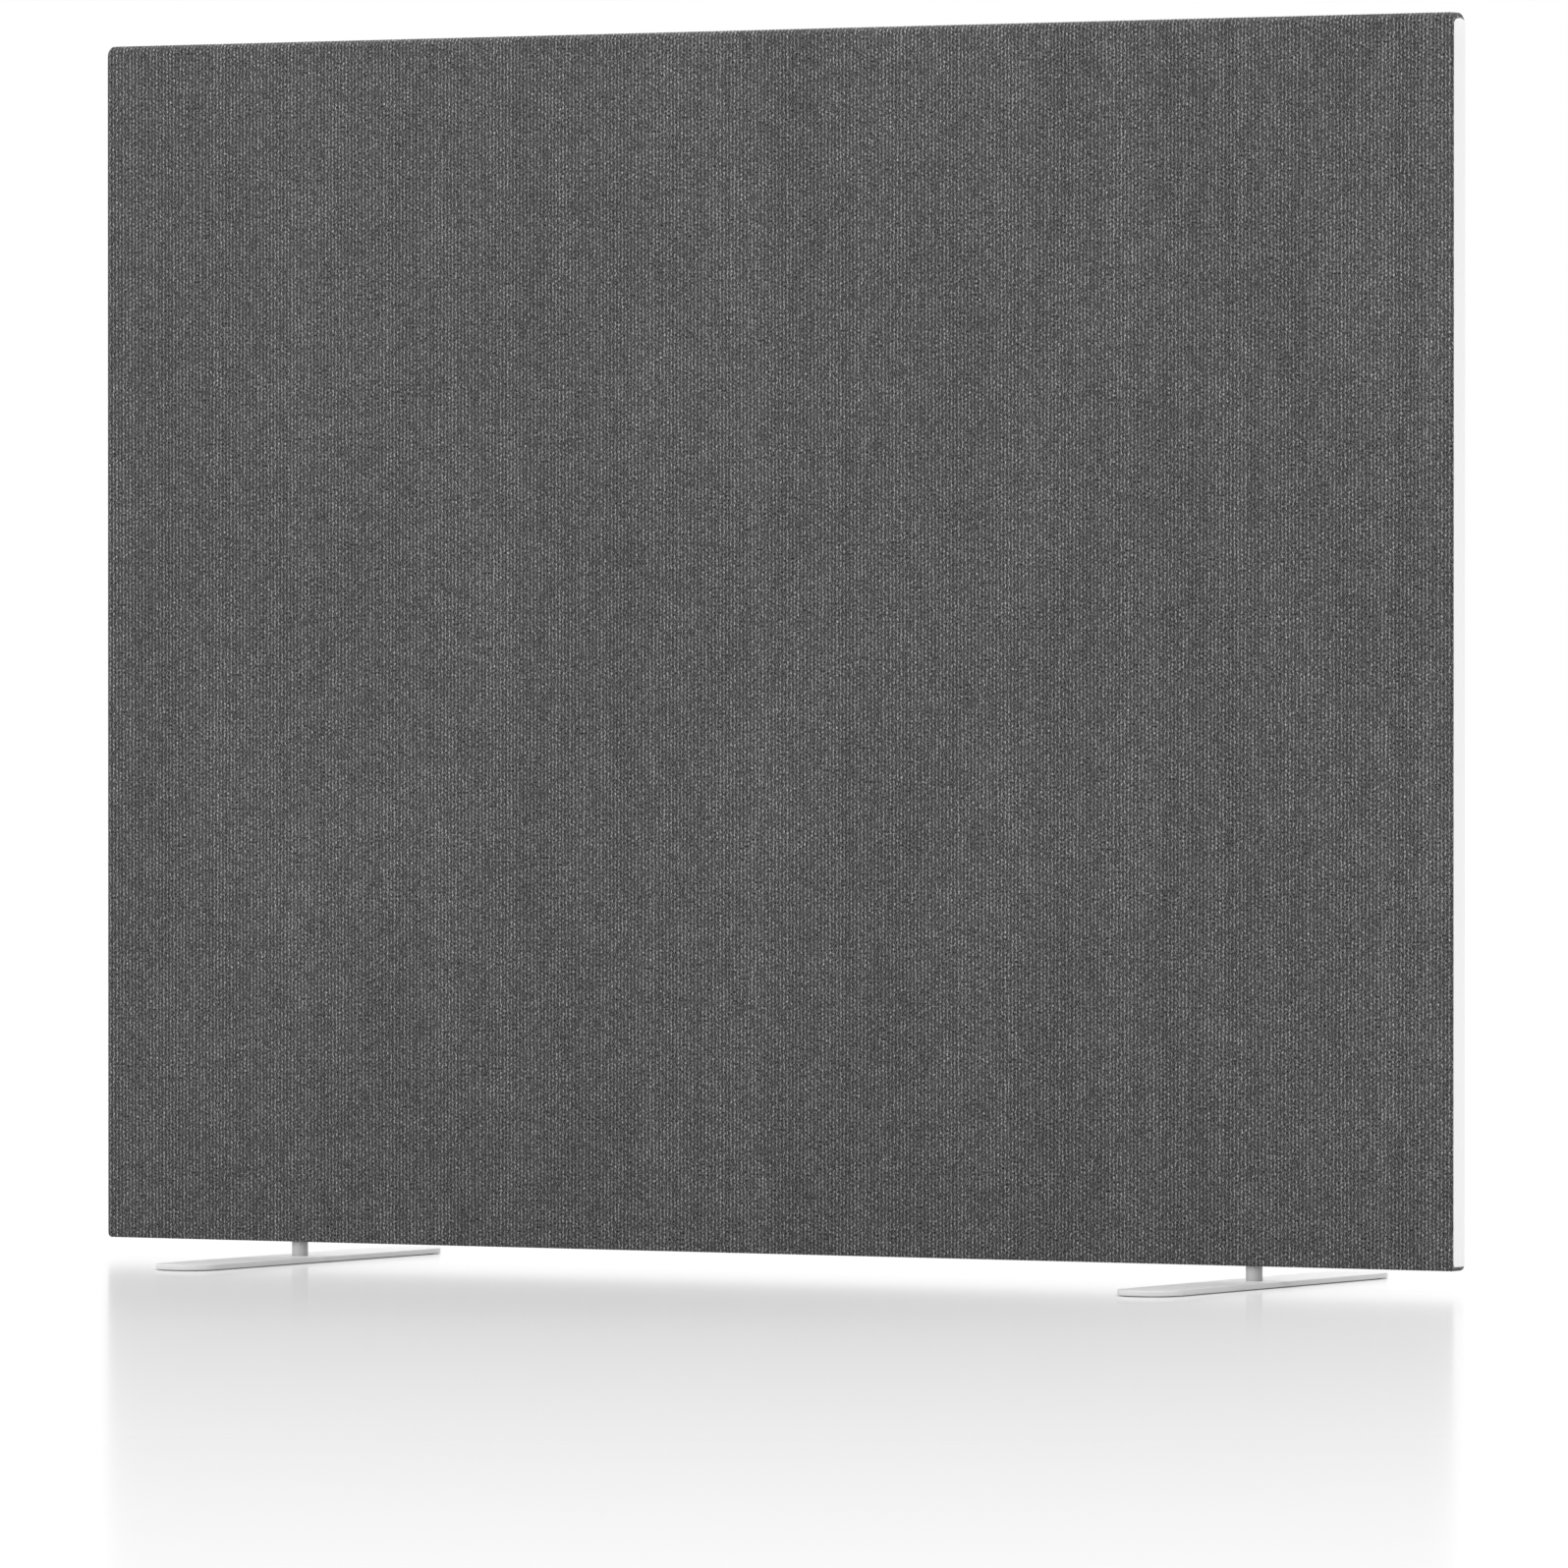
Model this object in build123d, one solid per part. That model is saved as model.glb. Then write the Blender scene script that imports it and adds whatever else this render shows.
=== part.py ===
from build123d import *
import os

# Acoustic divider screen: a padded frame in a knitted cover, on two flat steel feet.
# Millimetres. X runs along the screen, Y from its front face to its back face, Z up.
# The origin is on the floor under the middle of the screen.

# Screen over the fabric
overall_width = 1800.0
screen_height = 1416.0
screen_thickness = 30.0
floor_gap = 24.0

# Outline corners, seen from the front
top_corner_radius = 9.0
bottom_corner_radius = 4.0

# Rounding from face to edge, in the fabric
top_edge_radius = 8.0
bottom_edge_radius = 3.0
side_edge_radius = 2.0

# Soft layers
cover_thickness = 1.5
wadding_thickness = 3.0
wadding_top_gap = 4.0

# Timber frame
rail_height = 45.0
stile_width = 45.0
centre_stile_width = 60.0
core_gap = 0.3

# Screws in the lap joints
lap_screw_shank = 4.0
lap_screw_head = 8.0
lap_screw_length = 18.0
lap_screw_point = 4.0
lap_screw_tip = 0.8
lap_screw_sides = 8
lap_screw_gap = 0.05
lap_screw_outer_inset = 26.0
lap_screw_inner_inset = 35.0
lap_screw_near_inset = 13.0
lap_screw_far_inset = 32.0
centre_screw_offset = 16.0

# Edge strip: a domed cap with a barbed tongue
cap_width = 26.0
cap_thickness = 2.2
cap_sink = 0.7
cap_crown = 0.5
cap_edge_radius = 0.6
cap_top_setback = 5.8
cap_bottom_setback = 4.6
cap_top_corner_radius = 7.0
cap_bottom_corner_radius = 3.5
cap_recess_gap = 0.3
tongue_thickness = 1.6
tongue_depth = 11.5
tongue_end_setback = 14.0
barb_count = 3
barb_pitch = 3.2
barb_length = 2.4
barb_gap = 0.1

# Groove in each outer stile, lined by the folded-in cover
groove_width = 5.0
groove_depth = 13.0
groove_end_stop = 11.0
lining_thickness = 1.0
lining_depth = 12.5

# Staples under the bottom rail
staple_count = 25
staple_row_inset = 45.0
staple_crown = 10.0
staple_wire_width = 1.2
staple_wire_thickness = 0.6
staple_leg = 8.0

# Feet
foot_inset = 262.0
plate_length = 560.0
plate_width = 78.0
plate_thickness = 6.0
plate_corner_radius = 20.0
plate_edge_chamfer = 0.7

# Pads under the plates
pad_diameter = 22.0
pad_height = 1.0
pad_end_inset = 32.0
pad_side_inset = 18.0

# Posts
post_diameter = 19.0
post_bore_gap = 0.25
post_cover_gap = 0.3

# Machine screws up through plate and post
foot_screw_shank = 8.0
foot_screw_length = 40.0
foot_screw_head = 15.8
foot_screw_recess = 0.3
foot_screw_swivel_gap = 0.15
foot_screw_end_chamfer = 0.8
hex_socket_width = 5.0
hex_socket_depth = 2.6

# Threaded inserts in the bottom rail
insert_diameter = 12.0
insert_length = 18.0
insert_fit_gap = 0.05
insert_thread_gap = 0.05
insert_groove_depth = 0.6
insert_groove_width = 1.5
insert_hole_spare = 3.0

# How far a cutting body runs past what it cuts
overrun = 2.0

# Planes and extents that several pieces share
panel_width = overall_width - 2 * (cap_thickness - cap_sink)
panel_low = floor_gap
panel_high = floor_gap + screen_height
frame_width = panel_width - 2 * cover_thickness
frame_low = panel_low + cover_thickness
frame_high = panel_high - cover_thickness
frame_depth = screen_thickness - 2 * (cover_thickness + wadding_thickness)
padded_depth = screen_thickness - 2 * cover_thickness
cap_seat = panel_width / 2 - cap_sink
plate_top = pad_height + plate_thickness
foot_offset = overall_width / 2 - foot_inset
sides = {"left": -1, "right": 1}


def span_box(x_range, y_range, z_range):
    """A box from its lowest and highest coordinate along each axis."""
    ranges = (x_range, y_range, z_range)
    middles = [(low + high) / 2 for low, high in ranges]
    lengths = [high - low for low, high in ranges]
    return Pos(*middles) * Box(*lengths)


def corner_rectangle(width, height, top_radius, bottom_radius):
    """A centred rectangle with one radius at its upper corners and another at its lower ones."""
    face = Rectangle(width, height)
    if top_radius > 0:
        face = fillet(face.vertices().group_by(Axis.Y)[-1], top_radius)
    if bottom_radius > 0:
        face = fillet(face.vertices().group_by(Axis.Y)[0], bottom_radius)
    return face


def rounded_slab(width, depth, low, high, inset):
    """The screen's outer form, drawn in from the fabric by an inset that eases every radius."""
    middle = Pos(0, 0, (low + high) / 2)
    height = high - low
    front = corner_rectangle(
        width,
        height,
        max(top_corner_radius - inset, 0),
        max(bottom_corner_radius - inset, 0),
    )
    profile = corner_rectangle(
        depth,
        height,
        max(top_edge_radius - inset, 0),
        max(bottom_edge_radius - inset, 0),
    )
    side_radius = max(side_edge_radius - inset, 0)
    plan = corner_rectangle(width, depth, side_radius, side_radius)
    slab = extrude(Plane.XZ * front, depth / 2, both=True)
    slab &= extrude(Plane.YZ * profile, width / 2, both=True)
    slab &= extrude(plan, height / 2, both=True)
    return middle * slab


def frame_form():
    """The whole frame and core as one slab, with its long top edges rounded over."""
    inset = cover_thickness + wadding_thickness
    outline = corner_rectangle(
        frame_width,
        frame_high - frame_low,
        max(top_corner_radius - cover_thickness, 0),
        max(bottom_corner_radius - cover_thickness, 0),
    )
    profile = corner_rectangle(
        frame_depth, frame_high - frame_low, max(top_edge_radius - inset, 0), 0
    )
    form = extrude(Plane.XZ * outline, frame_depth / 2, both=True)
    form &= extrude(Plane.YZ * profile, frame_width / 2, both=True)
    return Pos(0, 0, (frame_low + frame_high) / 2) * form


def padded_form():
    """Everything inside the fabric cover."""
    return rounded_slab(frame_width, padded_depth, frame_low, frame_high, cover_thickness)


def front_half(x_range, z_range):
    """The front half of the frame's depth over a stretch of it."""
    return span_box(x_range, (-frame_depth / 2 - overrun, 0), z_range)


def stile_range(side):
    """How far an outer stile reaches along X."""
    outer = frame_width / 2
    inner = outer - stile_width
    return (inner, outer + overrun) if side > 0 else (-outer - overrun, -inner)


def lap_screw_places():
    """The point and head height of each lap screw, in X and Z."""
    places = []
    for side in sides.values():
        for level, way in ((frame_low, 1), (frame_high, -1)):
            outer = frame_width / 2
            places.append(
                (side * (outer - lap_screw_outer_inset), level + way * lap_screw_near_inset)
            )
            places.append(
                (side * (outer - lap_screw_inner_inset), level + way * lap_screw_far_inset)
            )
        for level in (frame_low + rail_height / 2, frame_high - rail_height / 2):
            places.append((side * centre_screw_offset, level))
    return places


def lap_screw(gap=0):
    """A countersunk wood screw along +Y with its head at the origin, or its hole with a gap.

    It is hidden in the timber, so it has a few flat sides instead of a round section.
    """
    head = lap_screw_head / 2 + gap
    shank = lap_screw_shank / 2 + gap
    levels = [
        (0, head),
        (head - shank, shank),
        (lap_screw_length - lap_screw_point, shank),
        (lap_screw_length + gap, lap_screw_tip / 2 + gap),
    ]
    sections = [
        Pos(0, 0, depth) * RegularPolygon(radius, lap_screw_sides) for depth, radius in levels
    ]
    return Rot(-90, 0, 0) * loft(sections, ruled=True)


def lap_screws(gap=0):
    """Every lap screw, or every hole, set in the frame's front face."""
    one = lap_screw(gap)
    return [Pos(x, -frame_depth / 2, z) * one for x, z in lap_screw_places()]


def groove(side):
    """The slot in an outer stile's edge that holds the edge strip's tongue."""
    outer = frame_width / 2
    x_range = (outer - groove_depth, outer + overrun)
    if side < 0:
        x_range = (-x_range[1], -x_range[0])
    z_range = (frame_low + groove_end_stop, frame_high - groove_end_stop)
    return span_box(x_range, (-groove_width / 2, groove_width / 2), z_range)


def outer_stile(side):
    """A side member: full depth between the rails, its front half over the rails' ends."""
    x_range = stile_range(side)
    inner_range = (frame_low + rail_height, frame_high - rail_height)
    full_range = (frame_low - overrun, frame_high + overrun)
    blank = span_box(x_range, (-frame_depth, frame_depth), inner_range)
    blank += front_half(x_range, full_range)
    return (frame_form() & blank) - [groove(side)] - lap_screws(lap_screw_gap)


def centre_stile():
    """The middle member: full depth between the rails, its front half let into them."""
    x_range = (-centre_stile_width / 2, centre_stile_width / 2)
    inner_range = (frame_low + rail_height, frame_high - rail_height)
    blank = span_box(x_range, (-frame_depth, frame_depth), inner_range)
    blank += front_half(x_range, (frame_low, frame_high))
    return (frame_form() & blank) - lap_screws(lap_screw_gap)


def rail(z_range):
    """A top or bottom member with the stiles' laps cut out of its front half."""
    member = frame_form() & span_box(
        (-frame_width / 2, frame_width / 2), (-frame_depth, frame_depth), z_range
    )
    reach = (z_range[0] - overrun, z_range[1] + overrun)
    for side in sides.values():
        member -= front_half(stile_range(side), reach)
        member -= groove(side)
    member -= front_half((-centre_stile_width / 2, centre_stile_width / 2), reach)
    return member - lap_screws(lap_screw_gap)


def top_rail():
    """The upper member."""
    return rail((frame_high - rail_height, frame_high))


def bottom_rail():
    """The lower member, bored for the two threaded inserts."""
    member = rail((frame_low, frame_low + rail_height))
    depth = insert_length + insert_hole_spare
    for side in sides.values():
        bore = Cylinder(insert_diameter / 2 + insert_fit_gap, depth + overrun)
        member -= Pos(side * foot_offset, 0, frame_low + (depth - overrun) / 2) * bore
    return member


def core_slab(side):
    """The acoustic slab that fills one bay of the frame."""
    inner = centre_stile_width / 2 + core_gap
    outer = frame_width / 2 - stile_width - core_gap
    x_range = (inner, outer) if side > 0 else (-outer, -inner)
    z_range = (frame_low + rail_height + core_gap, frame_high - rail_height - core_gap)
    return span_box(x_range, (-frame_depth / 2, frame_depth / 2), z_range)


def wadding(face_side):
    """The felt sheet on one face, which thins as it turns over the top rail's round edge."""
    sheet = padded_form() - frame_form()
    near, far = (0, screen_thickness) if face_side > 0 else (-screen_thickness, 0)
    keep = span_box(
        (-overall_width, overall_width),
        (near, far),
        (frame_low - overrun, frame_high - wadding_top_gap),
    )
    return sheet & keep


def cap_outline(gap=0):
    """The edge strip's cap seen from the side, with the gap added all round."""
    low = panel_low + cap_bottom_setback - gap
    high = panel_high - cap_top_setback + gap
    outline = corner_rectangle(
        cap_width + 2 * gap,
        high - low,
        cap_top_corner_radius + gap,
        cap_bottom_corner_radius + gap,
    )
    return Plane.YZ * Pos(0, (low + high) / 2) * outline


def barb_tip():
    """The barbs' half thickness, which leaves a small gap to the lining on each side."""
    return groove_width / 2 - lining_thickness - barb_gap


def tongue():
    """The barbed tongue: a fir-tree section that points in towards the frame."""
    half = tongue_thickness / 2
    section = Rectangle(
        tongue_depth + cap_thickness / 2,
        tongue_thickness,
        align=(Align.MAX, Align.CENTER),
    )
    section = Pos(cap_thickness / 2, 0) * section
    for number in range(barb_count):
        tip = -tongue_depth + number * barb_pitch
        for way in (-1, 1):
            barb = Polygon(
                (tip, 0),
                (tip, way * half),
                (tip + barb_length, way * barb_tip()),
                (tip + barb_length, 0),
                align=None,
            )
            section += barb
    low = panel_low + cap_bottom_setback + tongue_end_setback
    high = panel_high - cap_top_setback - tongue_end_setback
    return Pos(cap_seat, 0, low) * extrude(section, high - low, dir=(0, 0, 1))


def edge_strip(side):
    """The white strip: a cap with a slight crown and rounded ends, and its tongue."""
    cap = Pos(cap_seat, 0, 0) * extrude(cap_outline(), cap_thickness)
    crown_radius = (cap_width**2 / 4 + cap_crown**2) / (2 * cap_crown)
    crown = Cylinder(crown_radius, 2 * panel_high)
    cap &= Pos(cap_seat + cap_thickness - crown_radius, 0, 0) * crown
    cap = fillet(cap.faces().sort_by(Axis.X)[-1].edges(), cap_edge_radius)
    strip = cap + tongue()
    return strip if side > 0 else strip.rotate(Axis.Z, 180)


def cover_lining(side):
    """The cover's folded-in edges as a block that fills the groove, and the channel between them."""
    x_range = (frame_width / 2 - lining_depth, cap_seat)
    if side < 0:
        x_range = (-x_range[1], -x_range[0])
    z_range = (frame_low + groove_end_stop, frame_high - groove_end_stop)
    block = span_box(x_range, (-groove_width / 2, groove_width / 2), z_range)
    half = groove_width / 2 - lining_thickness
    return block, span_box((-overall_width, overall_width), (-half, half), z_range)


def fabric_cover():
    """The cover: over both faces, the top and the bottom, and folded into the side grooves."""
    cover = rounded_slab(panel_width, screen_thickness, panel_low, panel_high, 0)
    cover -= padded_form()
    for side in sides.values():
        lining, channel = cover_lining(side)
        cover += lining
        cover -= channel
        recess = extrude(cap_outline(cap_recess_gap), cap_sink + overrun)
        recess = Pos(cap_seat, 0, 0) * recess
        cover -= recess if side > 0 else recess.rotate(Axis.Z, 180)
        hole = Cylinder(post_diameter / 2 + post_cover_gap, 2 * cover_thickness + overrun)
        cover -= Pos(side * foot_offset, 0, panel_low) * hole
    return cover


def staple():
    """One staple, crown down, with its middle on the fabric's underside."""
    crown = span_box(
        (-staple_crown / 2, staple_crown / 2),
        (-staple_wire_width / 2, staple_wire_width / 2),
        (-staple_wire_thickness, 0),
    )
    leg = span_box(
        (staple_crown / 2 - staple_wire_thickness, staple_crown / 2),
        (-staple_wire_width / 2, staple_wire_width / 2),
        (-staple_wire_thickness, staple_leg),
    )
    return crown + leg + leg.rotate(Axis.Z, 180)


def cover_staples():
    """The row of staples that hold the cover's closing edge, clear of the two posts."""
    row = panel_width - 2 * staple_row_inset
    pitch = row / (staple_count - 1)
    clear = post_diameter / 2 + staple_crown
    one = staple()
    staples = []
    for number in range(staple_count):
        place = number * pitch - row / 2
        if abs(abs(place) - foot_offset) > clear:
            staples.append(Pos(place, 0, panel_low) * one)
    return Compound(staples)


def threaded_insert(side):
    """A brass insert, glued in the bottom rail, with a waist that keys it."""
    body = Cylinder(insert_diameter / 2, insert_length)
    body -= Cylinder(foot_screw_shank / 2 + insert_thread_gap, insert_length + overrun)
    ring = Cylinder(insert_diameter / 2 + overrun, insert_groove_width)
    ring -= Cylinder(insert_diameter / 2 - insert_groove_depth, insert_groove_width)
    return Pos(side * foot_offset, 0, frame_low + insert_length / 2) * (body - ring)


def post(side):
    """The short round post between the foot plate and the bottom rail."""
    height = frame_low - plate_top
    body = Cylinder(post_diameter / 2, height)
    body -= Cylinder(foot_screw_shank / 2 + post_bore_gap, height + overrun)
    return Pos(side * foot_offset, 0, plate_top + height / 2) * body


def screw_head_form(gap=0):
    """The countersunk head and the start of the shank, with a gap all round for its seat."""
    head = foot_screw_head / 2 + gap
    shank = foot_screw_shank / 2 + gap
    cone_height = (foot_screw_head - foot_screw_shank) / 2
    cone = Cone(head, shank, cone_height)
    return Pos(0, 0, cone_height / 2) * cone


def foot_plate(side):
    """A flat steel plate with rounded corners, countersunk from below for its screw."""
    outline = RectangleRounded(plate_width, plate_length, plate_corner_radius)
    plate = extrude(outline, plate_thickness)
    plate = chamfer(plate.faces().filter_by(Axis.Z).edges(), plate_edge_chamfer)
    bore = foot_screw_shank / 2 + foot_screw_swivel_gap
    plate -= Pos(0, 0, plate_thickness / 2) * Cylinder(bore, plate_thickness + overrun)
    plate -= Pos(0, 0, foot_screw_recess) * screw_head_form(foot_screw_swivel_gap)
    mouth = Cylinder(foot_screw_head / 2 + foot_screw_swivel_gap, foot_screw_recess + overrun)
    plate -= Pos(0, 0, (foot_screw_recess - overrun) / 2) * mouth
    return Pos(side * foot_offset, 0, pad_height) * plate


def foot_screw(side):
    """The machine screw that clamps the foot, with a hexagon socket in its head."""
    shank = Cylinder(foot_screw_shank / 2, foot_screw_length)
    end = shank.edges().filter_by(GeomType.CIRCLE).sort_by(Axis.Z)[-1]
    shank = chamfer(end, foot_screw_end_chamfer)
    screw = screw_head_form() + Pos(0, 0, foot_screw_length / 2) * shank
    socket = RegularPolygon(hex_socket_width / 2, 6, major_radius=False)
    screw -= extrude(socket, hex_socket_depth)
    return Pos(side * foot_offset, 0, pad_height + foot_screw_recess) * screw


def foot_pads(side):
    """Four round rubber pads stuck under a plate's corners."""
    pad = Cylinder(pad_diameter / 2, pad_height)
    reach = plate_length / 2 - pad_end_inset
    spread = plate_width / 2 - pad_side_inset
    pads = []
    for across in (-spread, spread):
        for along in (-reach, reach):
            place = Pos(side * foot_offset + across, along, pad_height / 2)
            pads.append(place * pad)
    return Compound(pads)


def all_parts():
    """Every node's name and shape."""
    parts = {
        "top_rail": top_rail(),
        "bottom_rail": bottom_rail(),
        "centre_stile": centre_stile(),
        "frame_screws": Compound(lap_screws()),
        "front_wadding": wadding(-1),
        "back_wadding": wadding(1),
        "fabric_cover": fabric_cover(),
        "cover_staples": cover_staples(),
        "threaded_inserts": Compound([threaded_insert(side) for side in sides.values()]),
        "foot_screws": Compound([foot_screw(side) for side in sides.values()]),
    }
    for name, side in sides.items():
        parts[name + "_stile"] = outer_stile(side)
        parts[name + "_core_slab"] = core_slab(side)
        parts[name + "_edge_strip"] = edge_strip(side)
        parts[name + "_post"] = post(side)
        parts[name + "_foot_plate"] = foot_plate(side)
        parts[name + "_foot_pads"] = foot_pads(side)
    return parts


os.makedirs("parts", exist_ok=True)
for node, shape in all_parts().items():
    export_step(shape, "parts/" + node + ".step")
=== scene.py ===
import math
from contextlib import contextmanager

import bmesh
import bpy
import numpy as np
from mathutils import Matrix, Vector


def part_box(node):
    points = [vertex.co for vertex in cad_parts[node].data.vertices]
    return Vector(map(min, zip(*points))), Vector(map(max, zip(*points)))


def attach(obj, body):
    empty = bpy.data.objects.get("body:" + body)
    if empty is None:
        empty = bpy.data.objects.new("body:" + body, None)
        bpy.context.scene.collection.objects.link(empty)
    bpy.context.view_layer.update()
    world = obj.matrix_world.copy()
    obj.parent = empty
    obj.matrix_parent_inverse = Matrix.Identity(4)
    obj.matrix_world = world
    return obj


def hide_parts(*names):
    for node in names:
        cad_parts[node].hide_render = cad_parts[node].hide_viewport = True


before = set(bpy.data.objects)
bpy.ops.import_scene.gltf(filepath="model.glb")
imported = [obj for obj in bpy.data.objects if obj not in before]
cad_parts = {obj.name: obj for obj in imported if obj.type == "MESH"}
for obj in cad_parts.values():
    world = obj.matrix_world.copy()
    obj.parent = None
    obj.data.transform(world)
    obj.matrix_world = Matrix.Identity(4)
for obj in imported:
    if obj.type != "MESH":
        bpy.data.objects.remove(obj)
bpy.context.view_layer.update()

# Looks of an acoustic divider screen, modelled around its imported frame.
# Metres. X runs along the screen, Y from its front face to its back face, Z up.

bl_info = {
    "name": "Acoustic divider screen",
    "version": (1, 0, 0),
    "blender": (4, 5, 0),
    "location": "3D View > Sidebar > Screen",
    "description": "Models and finishes the pieces of an acoustic divider screen on steel feet",
    "category": "Object",
}

MM = 0.001
SIDES = ("left", "right")

# Tests and cuts
SAME_PLACE = 0.01 * MM
SAME_WAY = 0.999
OVERRUN = 1.0 * MM
OVERLAP = 0.001 * MM
BORE_SIDES = 64
HEXAGON = 6

# Columns and rows of the cloth round the panel
COLUMNS_PER_RIB = 4
SIDE_ARC_STEPS = 4
UNDER_STRIP_SHARES = (0.03, 0.5, 1.0)
LOW_ARC_STEPS = 3
TOP_ARC_STEPS = 6
FACE_STEPS = 3
HEM_REACH_SHARE = 0.45
HEM_STEP_SHARE = 0.15
INSIDE_LIFT_SHARE = 1.05
POST_HOLE_GAP = 0.3 * MM
POST_HOLE_REACH = 5.0 * MM

# Knit: a stitch's half sizes are shares of its rib's width and of its own height
STITCH_WIDTH_SHARE = 0.245
STITCH_HEIGHT_SHARE = 0.54
STITCH_EDGE = (1.4, 0.1)
STITCH_LEAN = 0.5
STITCH_SHIFT = 0.22
# The ground between the stitches is the yarn's own tone darkened by painted shade in the gaps
# between the loops
GAP_TONE_AND_SHADE = 0.455
STITCH_TONE = 0.41
STITCH_SPREAD = 0.47
FIBRE_SPREAD = 1.8
CLOUD_SPREAD = 0.3
HAZE_SPREAD = 0.4
RIB_SPREAD = 0.16
STREAK_SPREAD = 0.15

# Fillings
FELT_EDGE = 0.8 * MM
CORE_EDGE = 1.5 * MM
SLAB_LONG_EDGE = 0.5
SLAB_CUTS = 5

# Edge strips
CAP_CORNER_STEPS = 12
CAP_EDGE_STEPS = 4
CAP_CUT_SHARE = 2.0
CROWN_STEPS = 10
BARB_COUNT = 3
BARB_STEP = 0.05 * MM

# Staples
STAPLE_COUNT = 25
STAPLE_BEND_SHARE = 0.9

# Feet
POST_SIDES = 96
PLATE_CORNER_STEPS = 20
PLATE_EDGE_STEPS = 3
SCREW_SIDES = 72
PAD_SIDES = 56
PAD_RING_PLACE_SHARE = 0.35
PAD_RING_WIDTH_SHARE = 0.1

# Camera, measured from the photograph
IMAGE_SIZE = 1596
CAMERA_PLACE = (7.8985, -13.667, 0.7289)
CAMERA_AZIMUTH = 30.047
CAMERA_LENS = 313.0
CAMERA_SENSOR = 36.0
LEVEL_POINT = (775.8, 656.16)

# Light: name, level on a surface that faces it, angular size, and the way it comes from
LAMPS = (
    ("soft_front", 0.57, 80.0, (-0.10, -0.42, 1.0)),
    ("soft_back", 0.42, 80.0, (-0.05, 0.55, 0.90)),
)
AMBIENT = 0.80

# Floor: distances in metres from the screen's middle, and shares of its light; the last three
# set the painted contact shade in its glow
FLOOR_SIZE = 160.0
FLOOR_WHITE = 0.60
FLOOR_GLOW = 1.045
FLOOR_SHARE = 0.85
FLOOR_ROUGHNESS = 0.16
PAINTED_SHADE_REACH = 0.027
PAINTED_SHADE_SOFTNESS = 0.9
PAINTED_SHADE_LEAST_GLOW = 0.15
REFLECTION_NEAR = 0.42
REFLECTION_FALL = 0.0625
REFLECTION_EXTRA = 0.06
REFLECTION_FADE = (1.6, 0.4)


def length(name, description, millimetres):
    """A length property of the add-on, with its default given in millimetres."""
    return bpy.props.FloatProperty(
        name=name,
        description=description,
        default=millimetres * MM,
        min=0.0,
        precision=5,
        unit="LENGTH",
    )


def colour(name, description, value):
    """A colour property of the add-on, in linear light."""
    return bpy.props.FloatVectorProperty(
        name=name,
        description=description,
        default=value,
        min=0.0,
        max=1.0,
        size=3,
        subtype="COLOR",
    )


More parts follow.
